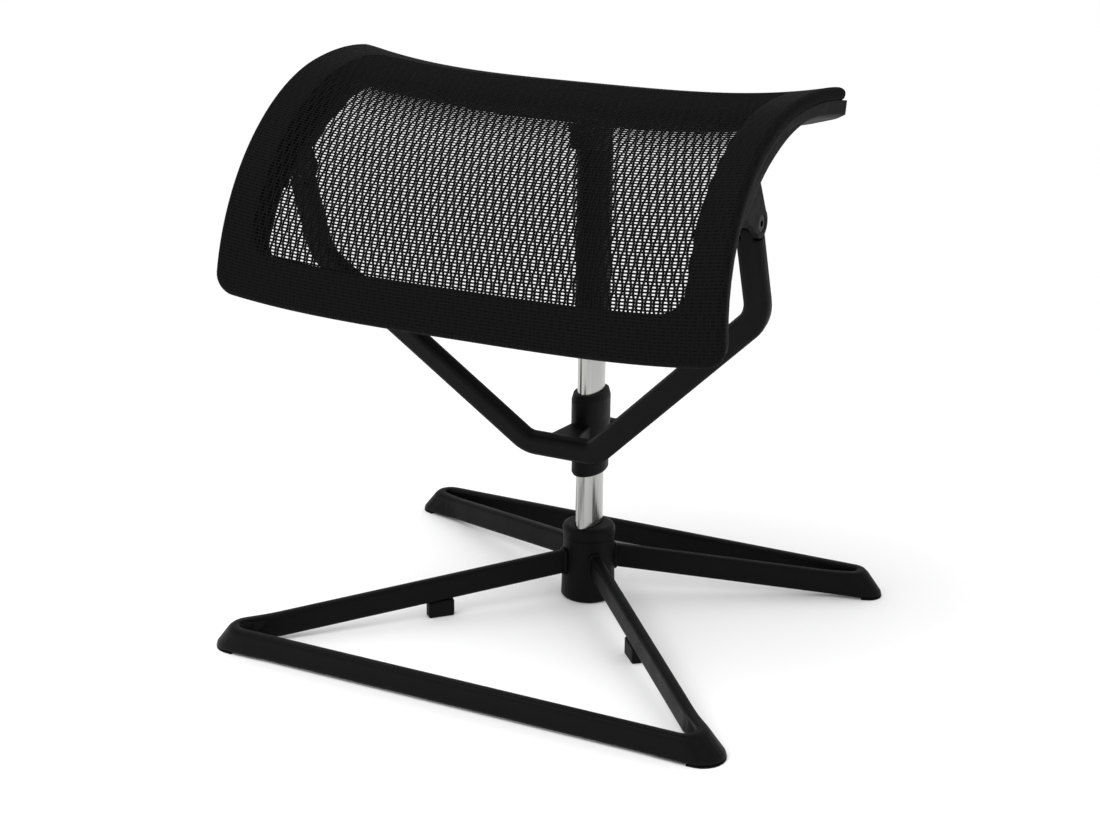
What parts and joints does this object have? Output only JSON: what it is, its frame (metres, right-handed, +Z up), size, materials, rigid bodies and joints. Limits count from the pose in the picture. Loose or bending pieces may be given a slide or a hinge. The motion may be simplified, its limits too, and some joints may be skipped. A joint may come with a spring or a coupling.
{
  "type": "footrest ottoman",
  "caption": "Footrest ottoman: mesh saddle panel that tilts on a forked yoke and slides up an oval column on a flat-bar base with flared corners.",
  "frame": {"origin": "middle of the footprint, on the floor", "axes": "+Z up, +Y towards the sitter's side where the panel's rear rail is, +X to the right seen from the front"},
  "size_m": [0.4872, 0.4022, 0.4964],
  "materials": {
    "black_powder_coat": "satin powder coat",
    "chrome": "bright plating",
    "black_plastic": "satin",
    "grey_plastic": "fine texture",
    "nylon": "natural",
    "steel": "zinc plated",
    "rubber": "matt",
    "mesh_fabric": "woven mesh"
  },
  "bodies": {
    "base": {"front_leg_loop": "black_powder_coat", "rear_leg_loop": "black_powder_coat", "front_left_foot": "rubber", "front_right_foot": "rubber", "rear_left_foot": "rubber", "rear_right_foot": "rubber", "front_left_glide": "rubber", "front_right_glide": "rubber", "hub_tube": "black_powder_coat", "hub_cap": "black_plastic", "hub_insert": "nylon", "hub_plug": "rubber", "column_bolt": "steel", "column_plug": "steel", "column_tube": "chrome", "column_sheath": "black_plastic", "column_head": "black_plastic", "column_bumper": "rubber"},
    "slider": {"slider_sleeve": "black_plastic", "slider_bush_upper": "nylon", "slider_bush_lower": "nylon", "clamp_shoe": "steel", "yoke_bar": "black_powder_coat", "pivot_bush_left": "nylon", "pivot_bush_right": "nylon"},
    "knob": {"height_knob": "black_plastic", "clamp_stud": "steel"},
    "panel": {"panel_shell": "grey_plastic", "mesh_frame": "black_plastic", "mesh_fabric": "mesh_fabric", "panel_bracket_left": "grey_plastic", "panel_bracket_right": "grey_plastic", "pivot_bolt_left": "steel", "pivot_bolt_right": "steel", "pivot_nut_left": "steel", "pivot_nut_right": "steel", "pivot_washer_left_inner": "nylon", "pivot_washer_left_outer": "nylon", "pivot_washer_right_inner": "nylon", "pivot_washer_right_outer": "nylon", "shell_screw_1": "steel", "shell_screw_2": "steel", "shell_screw_3": "steel", "shell_screw_4": "steel", "shell_screw_5": "steel", "shell_screw_6": "steel", "shell_screw_7": "steel", "shell_screw_8": "steel"}
  },
  "joints": [
    {"name": "height_slide", "type": "slide", "parent": "base", "child": "slider", "axis": [0, 0, 1], "range_m": [0, 0.06]},
    {"name": "panel_tilt", "type": "hinge", "parent": "slider", "child": "panel", "pos_m": [0, -0.08746, 0.409], "axis": [1, 0, 0], "range_deg": [0, 30]},
    {"name": "height_knob_turn", "type": "hinge", "parent": "slider", "child": "knob", "pos_m": [0, 0.06597, 0.145], "axis": [0, 1, 0], "range_deg": [0, 270]}
  ]
}
